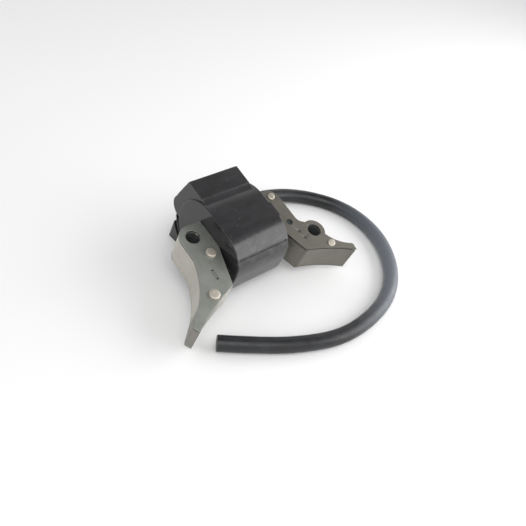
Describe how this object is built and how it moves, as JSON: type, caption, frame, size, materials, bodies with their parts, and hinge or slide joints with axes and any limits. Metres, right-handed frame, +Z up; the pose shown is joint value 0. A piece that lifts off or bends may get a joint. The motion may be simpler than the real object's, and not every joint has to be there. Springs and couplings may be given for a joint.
{
  "type": "ignition coil",
  "caption": "Small engine ignition coil: laminated core with two pole legs and mounting holes, black moulded coil body and a short high-tension lead with a bare end.",
  "frame": {"origin": "on the table, below the middle of the coil's box without its lead", "axes": "+Z up as the coil rests on a table, +X along the core's crossbar from the left leg to the right leg, +Y away from the flywheel"},
  "size_m": [0.1289, 0.0995, 0.0415],
  "materials": {
    "lamination": "fine sheet edges, satin",
    "zinc_sheet": "dull coated sheet",
    "rivet": "satin",
    "housing": "moulded, slightly glossy",
    "potting": "cast resin",
    "bobbin": "moulded",
    "copper": "enamelled wire",
    "wrap": "insulating film",
    "board": "solder mask",
    "component": "moulded",
    "resistor": "lacquer",
    "tinned": "tinned",
    "spike": "plain",
    "rubber": "satin"
  },
  "bodies": {
    "root": {"left_leg_top_sheet": "zinc_sheet", "left_leg_laminations": "lamination", "left_leg_bottom_sheet": "zinc_sheet", "right_leg_top_sheet": "zinc_sheet", "right_leg_laminations": "lamination", "right_leg_bottom_sheet": "zinc_sheet", "crossbar_laminations": "lamination", "core_rivets": "rivet", "sunk_rivet": "rivet", "module_housing": "housing", "potting_fill": "potting", "primary_bobbin": "bobbin", "primary_winding": "copper", "insulating_wrap": "wrap", "secondary_bobbin": "bobbin", "secondary_winding": "copper", "circuit_board": "board", "power_transistor": "component", "driver_transistor": "component", "resistors": "resistor", "clamp_diode": "component", "primary_wires": "copper", "feed_wire": "tinned", "terminal_spike": "spike", "lead_seated_end": "rubber", "conductor_seated_end": "tinned", "lead_boot": "rubber", "lead_jacket": "rubber", "lead_conductor": "tinned"}
  },
  "joints": []
}
